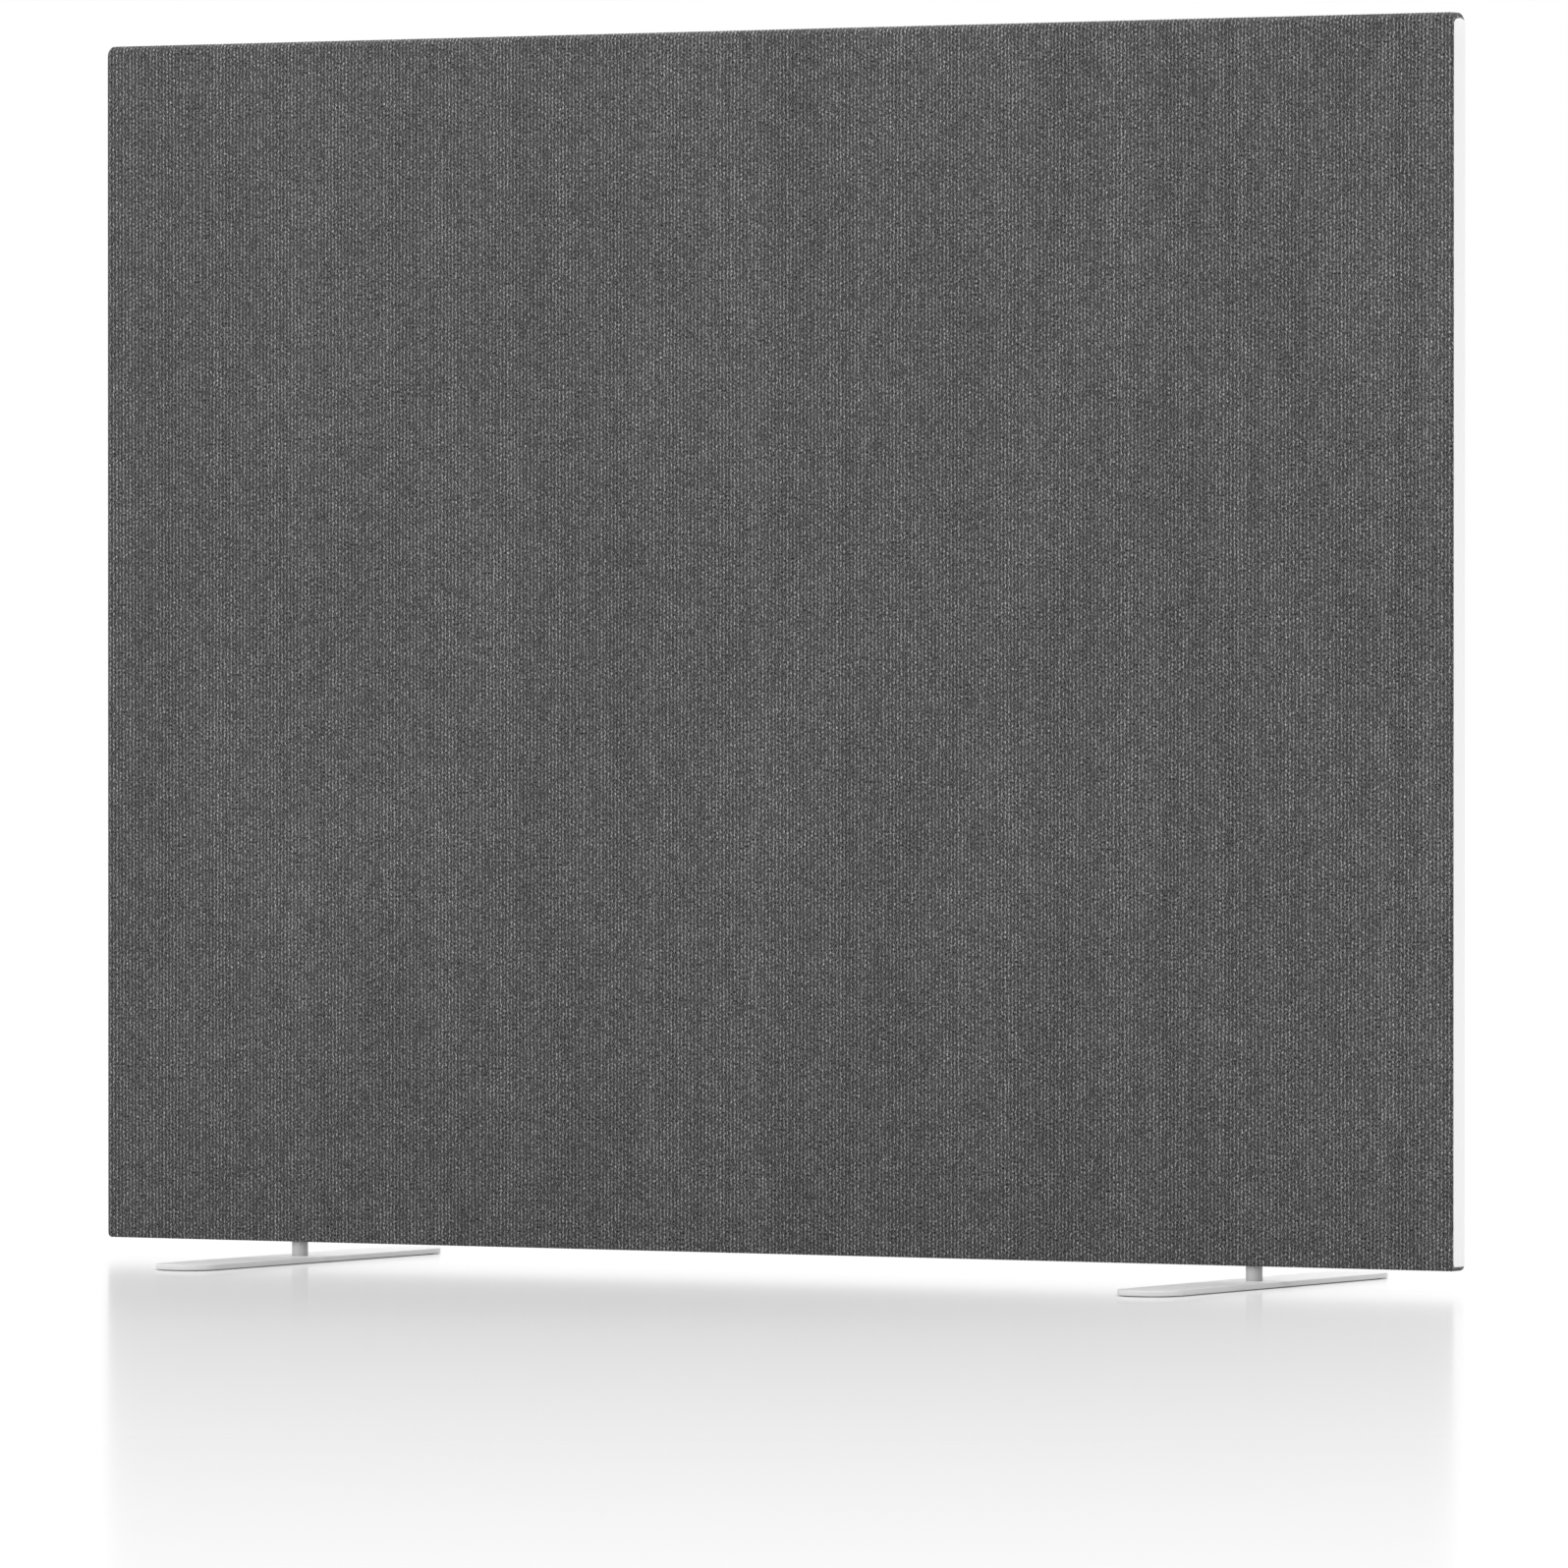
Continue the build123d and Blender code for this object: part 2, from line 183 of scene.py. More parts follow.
class ScreenSizes(bpy.types.PropertyGroup):
    """Sizes of the visible forms that the frame's boxes don't give."""

    rib_pitch: length("Rib pitch", "Distance from one knitted rib to the next", 4.72)
    rib_depth: length("Rib depth", "How deep the valley between two ribs lies", 0.45)
    stitch_height: length("Stitch height", "Height of one stitch along a rib", 4.72)
    fibre_width: length("Fibre width", "Width of the fine marks in the yarn", 0.95)
    fibre_length: length("Fibre length", "Length of the fine marks in the yarn", 2.6)
    cloth: length("Cloth thickness", "Thickness of the knitted cover", 1.0)
    top_corner: length("Top corner radius", "Radius of the cover's upper corners", 6.5)
    low_corner: length("Bottom corner radius", "Radius of the cover's lower corners", 4.0)
    top_round: length("Top edge radius", "Rounding of the cover over the top edge", 8.0)
    low_round: length("Bottom edge radius", "Rounding of the cover under the frame", 3.0)
    side_round: length("Side edge radius", "Rounding of the cover at the side edges", 2.0)
    strip_seat: length("Strip seat", "How deep the edge strip is let into the cover", 0.7)
    groove_half: length("Groove half width", "Half the gap that the tongue enters", 1.5)
    groove_depth: length("Fold depth", "How far the cover is folded into the groove", 13.3)
    groove_stop: length("Groove end", "Groove's end below the frame's corners", 12.5)
    cap_width: length("Strip width", "Width of the white edge strip", 26.0)
    cap_thickness: length("Strip thickness", "Thickness of the strip at its crown", 2.2)
    cap_crown: length("Strip crown", "How much the strip's face rises to its middle", 0.5)
    cap_edge: length("Strip edge radius", "Rounding of the strip's outer edges", 0.6)
    cap_top_gap: length("Strip top gap", "Gap between the strip's top and its seat's top", 1.0)
    cap_top_corner: length("Strip top reach", "Half width of the strip's round upper end", 12.5)
    cap_top_rise: length("Strip top rise", "Height of the strip's round upper end", 6.4)
    cap_low_corner: length("Strip bottom radius", "Radius of the strip's lower corners", 3.5)
    tongue: length("Tongue thickness", "Thickness of the strip's tongue", 1.6)
    tongue_depth: length("Tongue depth", "How far the tongue reaches into the groove", 11.5)
    tongue_end: length("Tongue end", "Distance from the strip's end to the tongue's end", 14.0)
    barb: length("Barb reach", "How far a barb stands from the tongue's middle", 1.4)
    barb_pitch: length("Barb pitch", "Distance from one barb to the next", 3.2)
    barb_length: length("Barb length", "Length of a barb's slope", 2.4)
    plate_corner: length("Foot corner radius", "Radius of the foot plate's corners", 35.0)
    plate_edge: length("Foot edge radius", "Rounding of the foot plate's edges", 0.7)
    post_edge: length("Post edge", "Chamfer at the ends of a post", 0.25)
    post_bore: length("Post bore", "Radius of the bore through a post", 4.25)
    pad_radius: length("Pad radius", "Radius of a rubber pad", 11.0)
    pad_edge: length("Pad edge", "Rounding of a rubber pad", 0.4)
    screw_head: length("Screw head radius", "Radius of the countersunk head", 7.9)
    screw_shank: length("Screw radius", "Radius of the machine screw", 4.0)
    screw_socket: length("Socket width", "Width across the hexagon socket's flats", 5.0)
    screw_socket_depth: length("Socket depth", "Depth of the hexagon socket", 2.6)
    screw_end: length("Screw end chamfer", "Chamfer at the screw's end", 0.8)
    countersink_gap: length("Countersink gap", "Clearance of the screw in the plate", 0.15)
    staple_crown: length("Staple crown", "Width of a staple", 10.0)
    staple_wire: length("Staple wire", "Width of a staple's flat wire", 1.2)
    staple_thickness: length("Staple thickness", "Thickness of a staple's wire", 0.6)


class ScreenColours(bpy.types.PropertyGroup):
    """Colours of the finishes, in linear light."""

    yarn: colour("Yarn", "Brightest stitches of the grey melange knit", (0.233, 0.233, 0.233))
    strip: colour("Strip", "White edge strip", (0.855, 0.855, 0.855))
    plate: colour("Foot plate", "Light powder coat on the foot plates", (0.68, 0.68, 0.68))
    post: colour("Post", "Grey powder coat on the posts", (0.51, 0.51, 0.51))
    rubber: colour("Rubber", "Pads under the feet", (0.035, 0.035, 0.036))
    zinc: colour("Zinc", "Screws and staples", (0.62, 0.63, 0.65))
    brass: colour("Brass", "Threaded inserts", (0.78, 0.56, 0.24))
    pine: colour("Pine", "Early wood of the frame", (0.66, 0.45, 0.25))
    late_wood: colour("Late wood", "Darker rings of the frame's wood", (0.40, 0.21, 0.09))
    felt: colour("Felt", "Wadding under the cover", (0.60, 0.60, 0.58))
    wool: colour("Wool", "Acoustic core", (0.50, 0.46, 0.36))


class Link:
    """One socket of a node tree, on which Python arithmetic adds Math nodes."""

    def __init__(self, tree, socket):
        self.tree = tree
        self.socket = socket

    def maths(self, operation, first, second=None):
        """Adds a Math node of that operation and returns its result."""
        node = self.tree.nodes.new("ShaderNodeMath")
        node.operation = operation
        for slot, value in zip(node.inputs, (first, second)):
            if isinstance(value, Link):
                self.tree.links.new(value.socket, slot)
            elif value is not None:
                slot.default_value = value
        return Link(self.tree, node.outputs[0])

    def __add__(self, other):
        return self.maths("ADD", self, other)

    def __radd__(self, other):
        return self.maths("ADD", other, self)

    def __sub__(self, other):
        return self.maths("SUBTRACT", self, other)

    def __rsub__(self, other):
        return self.maths("SUBTRACT", other, self)

    def __mul__(self, other):
        return self.maths("MULTIPLY", self, other)

    def __rmul__(self, other):
        return self.maths("MULTIPLY", other, self)

    def __truediv__(self, other):
        return self.maths("DIVIDE", self, other)

    def __rtruediv__(self, other):
        return self.maths("DIVIDE", other, self)

    def floor(self):
        """The whole part of the value."""
        return self.maths("FLOOR", self)

    def most(self, other):
        """The larger of two values."""
        return self.maths("MAXIMUM", self, other)

    def beside(self, output):
        """Another output of the node that this one comes from."""
        return Link(self.tree, self.socket.node.outputs[output])


class Finish:
    """A node tree under construction, for a material or the world."""

    def __init__(self, owner):
        owner.use_nodes = True
        self.tree = owner.node_tree
        self.tree.nodes.clear()

    def node(self, kind, out=0, feeds=None, **settings):
        """Adds a node: its settings first, then what feeds its sockets."""
        made = self.tree.nodes.new(kind)
        for key, value in settings.items():
            setattr(made, key, value)
        for key, value in (feeds or {}).items():
            socket = made.inputs[key]
            if isinstance(value, Link):
                self.tree.links.new(value.socket, socket)
            elif socket.type == "RGBA" and len(value) == 3:
                socket.default_value = (*value, 1.0)
            else:
                socket.default_value = value
        return Link(self.tree, made.outputs[out]) if len(made.outputs) else None

    def place(self):
        """The place on the piece, in metres."""
        return self.node("ShaderNodeTexCoord", "Object")

    def seen(self):
        """1 where the camera, a reflection or a view through glass looks, and 0 elsewhere."""
        camera = self.node("ShaderNodeLightPath", "Is Camera Ray")
        glossy = camera.beside("Is Glossy Ray")
        return camera.most(glossy).most(camera.beside("Is Transmission Ray"))

    def split(self, vector):
        """The three parts of a vector."""
        x = self.node("ShaderNodeSeparateXYZ", "X", feeds={"Vector": vector})
        return x, x.beside("Y"), x.beside("Z")

    def vector(self, x, y, z=0.0):
        """A vector from three values."""
        return self.node("ShaderNodeCombineXYZ", feeds={"X": x, "Y": y, "Z": z})

    def noise(self, vector, scale=1.0, detail=2.0, roughness=0.5, flat=False):
        """Smooth noise from 0 to 1."""
        return self.node(
            "ShaderNodeTexNoise",
            "Fac",
            noise_dimensions="2D" if flat else "3D",
            feeds={
                "Vector": vector,
                "Scale": scale,
                "Detail": detail,
                "Roughness": roughness,
            },
        )

    def random(self, vector):
        """An unsmoothed random value from 0 to 1 for each place."""
        return self.node("ShaderNodeTexWhiteNoise", "Value", feeds={"Vector": vector})

    def mix(self, share, first, second):
        """A colour between two others. The node's sockets share names, so they go by number."""
        return self.node(
            "ShaderNodeMix",
            2,
            data_type="RGBA",
            feeds={0: share, 6: first, 7: second},
        )

    def between(self, value, low, high):
        """A smooth step from 0 at low to 1 at high."""
        return self.node(
            "ShaderNodeMapRange",
            interpolation_type="SMOOTHSTEP",
            feeds={"Value": value, "From Min": low, "From Max": high},
        )

    def bump(self, height, distance, strength=1.0):
        """A normal from a height from 0 to 1 and the real distance that it stands for."""
        return self.node(
            "ShaderNodeBump",
            feeds={"Height": height, "Distance": distance, "Strength": strength},
        )

    def surface(self, shader, owner="Material"):
        """Ends the tree of a material or a world with a shader."""
        self.node("ShaderNodeOutput" + owner, feeds={"Surface": shader})

    def principled(self, **feeds):
        """A Principled shader; an underscore in a name stands for a space."""
        named = {key.replace("_", " "): value for key, value in feeds.items()}
        self.surface(self.node("ShaderNodeBsdfPrincipled", "BSDF", feeds=named))


def finish_called(name):
    """A new material and its node tree."""
    material = bpy.data.materials.new(name)
    return material, Finish(material)


def times(colour_value, factor):
    """A colour made lighter or darker, kept within 1."""
    return tuple(min(1.0, part * factor) for part in colour_value)


def knit_finish(sizes, colours, pitch):
    """Ribbed melange knit: upright stitches, half a stitch lower on every other rib."""
    material, f = finish_called("ribbed_knit")
    across, along, _ = f.split(f.node("ShaderNodeUVMap", "UV", uv_map="cloth"))
    rib = across / pitch
    row = along / sizes.stitch_height
    sway = f.noise(f.vector(rib * 0.35, row * 0.35), detail=1.0, flat=True) - 0.5
    swayed = rib + sway * 0.1
    chain = swayed.floor()
    drift = f.noise(f.vector(chain * 3.7, row * 0.3), detail=1.0, flat=True) - 0.5
    step = row + chain * 0.5 + drift * 0.1
    stitch_row = step.floor()
    # The third part of each vector only keeps the draws of a stitch apart
    lean = f.random(f.vector(chain, stitch_row, 1.3)) - 0.5
    shift = f.random(f.vector(chain, stitch_row, 4.1)) - 0.5
    weight = f.random(f.vector(chain, stitch_row, 7.9)) - 0.5
    across_rib = swayed - chain - 0.5
    along_stitch = step - stitch_row - 0.5
    leant = across_rib - lean * along_stitch * STITCH_LEAN - shift * STITCH_SHIFT
    beside = leant / STITCH_WIDTH_SHARE
    above = along_stitch / STITCH_HEIGHT_SHARE
    stitch = f.between(beside * beside + above * above, *STITCH_EDGE)
    strand = f.vector(across / sizes.fibre_width, along / sizes.fibre_length)
    fibre = f.noise(strand, detail=1.0, flat=True) - 0.5
    # The dark ground between stitches is partly the yarn's tone and partly painted shade in the
    # gaps between the loops
    tone = GAP_TONE_AND_SHADE + stitch * (STITCH_TONE + weight * STITCH_SPREAD) + fibre * FIBRE_SPREAD
    tone = tone.most(0.0)
    cloud_place = f.vector(across, along * 0.35)
    cloud = f.noise(cloud_place, scale=9.0, detail=3.0, roughness=0.55, flat=True) - 0.5
    haze = f.noise(f.vector(across, along * 0.6), scale=45.0, flat=True) - 0.5
    own = f.random(f.vector(chain, 0.5, 2.3)) - 0.5
    streak = f.noise(f.vector(across * 14.0, along * 0.4), flat=True) - 0.5
    uneven = cloud * CLOUD_SPREAD + haze * HAZE_SPREAD + own * RIB_SPREAD
    uneven = uneven + streak * STREAK_SPREAD
    level = tone * tone * (1.0 + uneven)
    f.principled(
        Base_Color=f.node(
            "ShaderNodeVectorMath",
            operation="SCALE",
            feeds={0: colours.yarn, "Scale": level},
        ),
        Roughness=0.96 - stitch * 0.08,
        Normal=f.bump(tone, 0.5 * MM, 0.75),
        Sheen_Weight=0.08,
        Sheen_Roughness=0.5,
        Specular_IOR_Level=0.25,
    )
    return material


def fibre_finish(name, tint, grain, depth):
    """Matted fibres, as on felt and acoustic wool."""
    material, f = finish_called(name)
    x, y, z = f.split(f.place())
    lying = f.noise(f.vector(x * 3.0, y, z * 0.6), grain, detail=4.0, roughness=0.65)
    standing = f.noise(f.vector(x * 0.6, y, z * 3.0), grain * 1.2, detail=4.0, roughness=0.65)
    mat = lying.most(standing)
    patch = f.noise(f.place(), scale=14.0)
    weight = f.between(mat * 0.8 + patch * 0.2, 0.35, 0.75)
    f.principled(
        Base_Color=f.mix(weight, times(tint, 0.62), times(tint, 1.18)),
        Roughness=0.98 - weight * 0.08,
        Normal=f.bump(weight, depth),
    )
    return material


def timber_finish(name, colours, along_x):
    """Planed softwood with its grain along the member."""
    material, f = finish_called(name)
    x, y, z = f.split(f.place())
    run, rise = (x, z) if along_x else (z, x)
    sway = f.noise(f.vector(run * 1.4, y * 8.0, rise * 8.0))
    rings = f.vector(rise * 95.0 + sway * 6.5, y * 60.0, run * 1.1)
    late = f.noise(rings, detail=1.0, roughness=0.4)
    fibre = f.noise(f.vector(run * 18.0, y * 900.0, rise * 900.0), roughness=0.6)
    grain = f.between(late * 0.85 + fibre * 0.15, 0.38, 0.66)
    f.principled(
        Base_Color=f.mix(grain, colours.pine, colours.late_wood),
        Roughness=0.62 - grain * 0.12 + fibre * 0.08,
        Normal=f.bump(fibre * 0.5 + grain * 0.5, 0.12 * MM),
    )
    return material


def metal_finish(name, tint, streak, low, high):
    """Bare or plated metal with a drawn or tumbled surface."""
    material, f = finish_called(name)
    x, y, z = f.split(f.place())
    drawn = f.noise(f.vector(x, y, z * streak), scale=900.0, detail=3.0, roughness=0.6)
    patch = f.noise(f.place(), scale=160.0)
    f.principled(
        Base_Color=f.mix(patch, times(tint, 0.86), times(tint, 1.08)),
        Metallic=1.0,
        Roughness=low + drawn * (high - low),
        Normal=f.bump(drawn, 0.02 * MM),
    )
    return material


def powder_finish(name, tint):
    """Powder coat: fine orange peel, and a slight drift of tone."""
    material, f = finish_called(name)
    place = f.place()
    peel = f.noise(place, scale=850.0, roughness=0.45)
    pores = f.noise(place, scale=3200.0, detail=1.0)
    drift = f.noise(place, scale=16.0, detail=3.0)
    tone = f.between(drift * 0.7 + pores * 0.3, 0.3, 0.7)
    f.principled(
        Base_Color=f.mix(tone, times(tint, 0.975), times(tint, 1.025)),
        Roughness=0.35 * (0.8 + peel * 0.25 + drift * 0.15),
        Normal=f.bump(peel * 0.8 + pores * 0.2, 0.02 * MM),
        Specular_IOR_Level=0.45,
    )
    return material


def strip_finish(colours):
    """Smooth satin white plastic, with faint long marks from its extrusion."""
    material, f = finish_called("satin_white_strip")
    x, y, z = f.split(f.place())
    drawn = f.noise(f.vector(x * 1500.0, y * 1500.0, z * 6.0))
    drift = f.noise(f.vector(x * 4.0, y * 4.0, z * 4.0))
    f.principled(
        Base_Color=f.mix(drift, times(colours.strip, 0.985), times(colours.strip, 1.015)),
        Roughness=0.34 + drawn * 0.08,
        Normal=f.bump(drawn, 0.010 * MM),
    )
    return material


def rubber_finish(colours):
    """Matt rubber with a fine moulded grain."""
    material, f = finish_called("pad_rubber_grain")
    grain = f.noise(f.place(), scale=1400.0, detail=3.0, roughness=0.6)
    f.principled(
        Base_Color=f.mix(grain, times(colours.rubber, 0.75), times(colours.rubber, 1.3)),
        Roughness=0.78 + grain * 0.15,
        Normal=f.bump(grain, 0.05 * MM),
    )
    return material


def floor_finish():
    """White floor that keeps a weak shadow and a painted contact shade near the feet, with a
    soft reflection that fades outwards.
    """
    material, f = finish_called("white_studio_floor")
    x, y, _ = f.split(f.place())
    away = f.node("ShaderNodeVectorMath", "Value", operation="LENGTH", feeds={0: f.vector(x, y)})
    share = REFLECTION_NEAR - away * REFLECTION_FALL
    share = share + f.between(away, *REFLECTION_FADE) * REFLECTION_EXTRA
    share = share.most(0.0)
    seen = f.seen()
    matt = f.node("ShaderNodeBsdfDiffuse", feeds={"Color": (FLOOR_WHITE,) * 3})
    # Painted shade: ambient occlusion darkens the glow that the camera sees where the feet and
    # plates stand close to the floor
    open_share = f.node(
        "ShaderNodeAmbientOcclusion",
        "AO",
        samples=12,
        feeds={"Distance": PAINTED_SHADE_REACH},
    )
    painted_contact_shade = f.between(open_share, 0.0, PAINTED_SHADE_SOFTNESS)
    painted_contact_shade = PAINTED_SHADE_LEAST_GLOW + painted_contact_shade * (1.0 - PAINTED_SHADE_LEAST_GLOW)
    glow = f.node(
        "ShaderNodeEmission",
        feeds={"Color": (1.0,) * 3, "Strength": painted_contact_shade * FLOOR_GLOW},
    )
    lit = f.node("ShaderNodeMixShader", feeds={0: seen * FLOOR_SHARE, 1: matt, 2: glow})
    gloss = f.node(
        "ShaderNodeBsdfGlossy",
        distribution="MULTI_GGX",
        feeds={"Color": (1.0,) * 3, "Roughness": FLOOR_ROUGHNESS},
    )
    f.surface(f.node("ShaderNodeMixShader", feeds={0: share * seen, 1: lit, 2: gloss}))
    return material


def choose(*pieces):
    """Selects these pieces and nothing else, and makes the first one active."""
    bpy.ops.object.select_all(action="DESELECT")
    for piece in pieces:
        piece.select_set(True)
    bpy.context.view_layer.objects.active = pieces[0]


@contextmanager
def editing(piece):
    """Edit mode on one piece with nothing selected in it."""
    choose(piece)
    bpy.ops.object.mode_set(mode="EDIT")
    bpy.ops.mesh.select_all(action="DESELECT")
    yield
    bpy.ops.object.mode_set(mode="OBJECT")


def pick(kind, test):
    """Selects the vertices, edges or faces of the mesh in edit mode that pass a test."""
    bpy.ops.mesh.select_mode(type=kind)
    bpy.ops.mesh.select_all(action="DESELECT")
    mesh = bpy.context.edit_object.data
    form = bmesh.from_edit_mesh(mesh)
    parts = {"VERT": form.verts, "EDGE": form.edges, "FACE": form.faces}[kind]
    chosen = [part for part in parts if test(part)]
    if not chosen:
        raise RuntimeError(f"no {kind} of {mesh.name} passes the test")
    for part in chosen:
        part.select_set(True)
    form.select_flush_mode()
    bmesh.update_edit_mesh(mesh)


def middle(part):
    """The middle of an edge or a face."""
    points = [vertex.co for vertex in part.verts]
    return sum(points, Vector()) / len(points)


def runs_along(edge, axis):
    """True for an edge that runs along an axis, by the axis's number."""
    way = (edge.verts[1].co - edge.verts[0].co).normalized()
    return abs(way[axis]) > SAME_WAY


def near(value, target):
    """True where two lengths are the same."""
    return abs(value - target) < SAME_PLACE


def is_level(edge):
    """True for an edge whose ends are at one height."""
    return near(edge.verts[0].co.z, edge.verts[1].co.z)


def start(add, name, **settings):
    """Adds a primitive at its size and place, with nothing else selected."""
    bpy.ops.object.select_all(action="DESELECT")
    add(**settings)
    piece = bpy.context.object
    piece.name = name
    piece.data.name = name
    bpy.ops.object.transform_apply(location=True, rotation=True, scale=True)
    return piece


def start_box(name, low, high):
    """A box from its lowest and highest corner."""
    low, high = Vector(low), Vector(high)
    return start(
        bpy.ops.mesh.primitive_cube_add,
        name,
        size=1.0,
        location=(low + high) / 2,
        scale=high - low,
    )


def start_round(name, radius, low, high, place, sides=BORE_SIDES, upper=None):
    """A cylinder or a cone that stands at a place, from one level to another."""
    return start(
        bpy.ops.mesh.primitive_cone_add,
        name,
        vertices=sides,
        radius1=radius,
        radius2=radius if upper is None else upper,
        depth=high - low,
        location=(place[0], place[1], (low + high) / 2),
    )


def bevel(offset, segments):
    """Rounds what is selected."""
    bpy.ops.mesh.bevel(offset=offset, segments=segments, affect="EDGES", profile=0.5)


def slice_all(place, way):
    """Cuts a line round the whole piece where a plane meets it."""
    bpy.ops.mesh.select_all(action="SELECT")
    bpy.ops.mesh.bisect(plane_co=place, plane_no=way)


def draw_up(height):
    """Draws the selected faces upwards."""
    bpy.ops.mesh.extrude_region_move(TRANSFORM_OT_translate={"value": (0.0, 0.0, height)})


def apply_modifier(piece, kind, **settings):
    """Adds a modifier and applies it."""
    choose(piece)
    modifier = piece.modifiers.new(kind.lower(), kind)
    for key, value in settings.items():
        setattr(modifier, key, value)
    bpy.ops.object.modifier_apply(modifier=modifier.name)


def cut(piece, tool):
    """Cuts a tool's form out of a piece and removes the tool."""
    apply_modifier(piece, "BOOLEAN", operation="DIFFERENCE", solver="EXACT", object=tool)
    bpy.data.objects.remove(tool)


def twin(piece, name, change):
    """A copy with its own mesh, moved by a matrix."""
    copy = piece.copy()
    copy.data = piece.data.copy()
    copy.name = name
    copy.data.name = name
    copy.data.transform(change)
    bpy.context.scene.collection.objects.link(copy)
    return copy


def joined(pieces, name):
    """One piece made of several."""
    choose(*pieces)
    bpy.ops.object.join()
    pieces[0].name = name
    pieces[0].data.name = name
    return pieces[0]


def complete(piece, material, body, node, angle=35.0):
    """Shades a piece, gives it its finish and hands it to its body, in place of a node."""
    choose(piece)
    bpy.ops.object.shade_smooth_by_angle(angle=math.radians(angle))
    piece.data.materials.clear()
    piece.data.materials.append(material)
    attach(piece, body)
    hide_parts(node)


def dress(node, material):
    """Gives a node of the frame its finish."""
    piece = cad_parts[node]
    for holder in piece.material_slots:
        holder.material = material
    if not piece.material_slots:
        piece.data.materials.append(material)


def foot_places():
    """Each foot's side, and its post's middle, lowest corner and highest corner."""
    for side in SIDES:
        low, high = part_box(side + "_post")
        yield side, (low + high) / 2, low, high


class Wrap:
    """The way a flat cloth lies round the panel, column by column and row by row."""

    def __init__(self, sizes, low, high):
        self.sizes = sizes
        self.low = low
        self.high = high
        self.half = high.x
        self.depth = high.y
        self.face = self.half - sizes.side_round
        self.ribs = round(2 * self.face / sizes.rib_pitch)
        self.pitch = 2 * self.face / self.ribs
        self.columns = self.mirrored(self.face_columns() + self.side_columns())
        self.rows = self.loop_rows()

    def corner_drop(self, x, radius):
        """How far a rounded corner lies within the straight edge at x."""
        over = max(0.0, abs(x) - (self.half - radius))
        return radius - math.sqrt(max(0.0, radius**2 - over**2))

    def column(self, x, depth, flat, valley, ends=None):
        """One column of the cloth: its place, its loop's extents and its rib's valley."""
        sizes = self.sizes
        if ends is None:
            ends = (
                self.low.z + self.corner_drop(x, sizes.low_corner),
                self.high.z - self.corner_drop(x, sizes.top_corner),
            )
        return {"x": x, "depth": depth, "flat": flat, "valley": valley, "ends": ends}

    def face_columns(self):
        """A few columns for each rib, from the panel's middle to its right side."""
        count = COLUMNS_PER_RIB * self.ribs
        made = []
        for number in range(count // 2, count + 1):
            x = number * self.pitch / COLUMNS_PER_RIB - self.face
            valley = 0.5 + 0.5 * math.cos(2 * math.pi / COLUMNS_PER_RIB * number)
            made.append(self.column(x, self.depth, x, valley))
        return made

    def side_columns(self):
        """Round the side edge, under the strip and into the groove, on the right."""
        sizes = self.sizes
        made = []
        for number in range(1, SIDE_ARC_STEPS + 1):
            turn = math.radians(90.0 * number / SIDE_ARC_STEPS)
            x = self.face + sizes.side_round * math.sin(turn)
            depth = self.depth - sizes.side_round * (1 - math.cos(turn))
            made.append(self.column(x, depth, self.face + sizes.side_round * turn, 1.0))
        edge = made[-1]["flat"]
        depth = self.depth - sizes.side_round
        seat = self.half - sizes.strip_seat
        slot = (self.low.z + sizes.groove_stop, self.high.z - sizes.groove_stop)
        outer = made[-1]["ends"]
        for share in UNDER_STRIP_SHARES:
            level = depth + (sizes.groove_half - depth) * share
            ends = tuple(a + (b - a) * share for a, b in zip(outer, slot))
            flat = edge + (depth - level)
            made.append(self.column(seat, level, flat, 1.0, ends))
        inner = self.half - sizes.strip_seat - sizes.groove_depth
        flat = edge + depth - sizes.groove_half + sizes.groove_depth
        made.append(self.column(inner, sizes.groove_half, flat, 1.0, slot))
        return made

    def mirrored(self, right):
        """The left half's columns before the right half's."""
        left = []
        for column in reversed(right[1:]):
            left.append({**column, "x": -column["x"], "flat": -column["flat"]})
        return left + right

    def loop_rows(self):
        """Names and shares of the rows round the panel, from the hem up the front and over."""
        low_arc = np.linspace(0, math.pi / 2, LOW_ARC_STEPS + 1)
        top_arc = np.linspace(0, math.pi / 2, TOP_ARC_STEPS + 1)
        rows = [("under", HEM_REACH_SHARE), ("under", -HEM_REACH_SHARE)]
        rows += [("low_front", angle) for angle in low_arc]
        rows += [("front", number / FACE_STEPS) for number in range(1, FACE_STEPS)]
        rows += [("top_front", angle) for angle in top_arc]
        rows += [("top_back", angle) for angle in top_arc]
        rows += [("back", number / FACE_STEPS) for number in range(1, FACE_STEPS)]
        rows += [("low_back", angle) for angle in low_arc]
        rows += [("under", HEM_REACH_SHARE + HEM_STEP_SHARE)]
        rows += [("inside", HEM_REACH_SHARE), ("inside", -HEM_REACH_SHARE)]
        return rows

    def point(self, column, row):
        """A place on the cloth's outer face and the way out from it, in Y and Z."""
        sizes = self.sizes
        name, share = row
        depth = column["depth"]
        low, high = column["ends"]
        low_round = min(sizes.low_round, depth)
        top_round = min(sizes.top_round, depth)
        if name in ("under", "inside"):
            lift = sizes.cloth * INSIDE_LIFT_SHARE if name == "inside" else 0.0
            return share * (depth - low_round), low + lift, 0.0, -1.0
        side = -1.0 if name.endswith("front") else 1.0
        if name in ("front", "back"):
            first, last = low + low_round, high - top_round
            if name == "back":
                first, last = last, first
            return side * depth, first + (last - first) * share, side, 0.0
        out, up = math.sin(share), math.cos(share)
        if name in ("top_front", "low_back"):
            out, up = up, out
        if name.startswith("low"):
            y = side * (depth - low_round) + side * low_round * out
            return y, low + low_round * (1 - up), side * out, -up
        y = side * (depth - top_round) + side * top_round * out
        return y, high - top_round * (1 - up), side * out, up

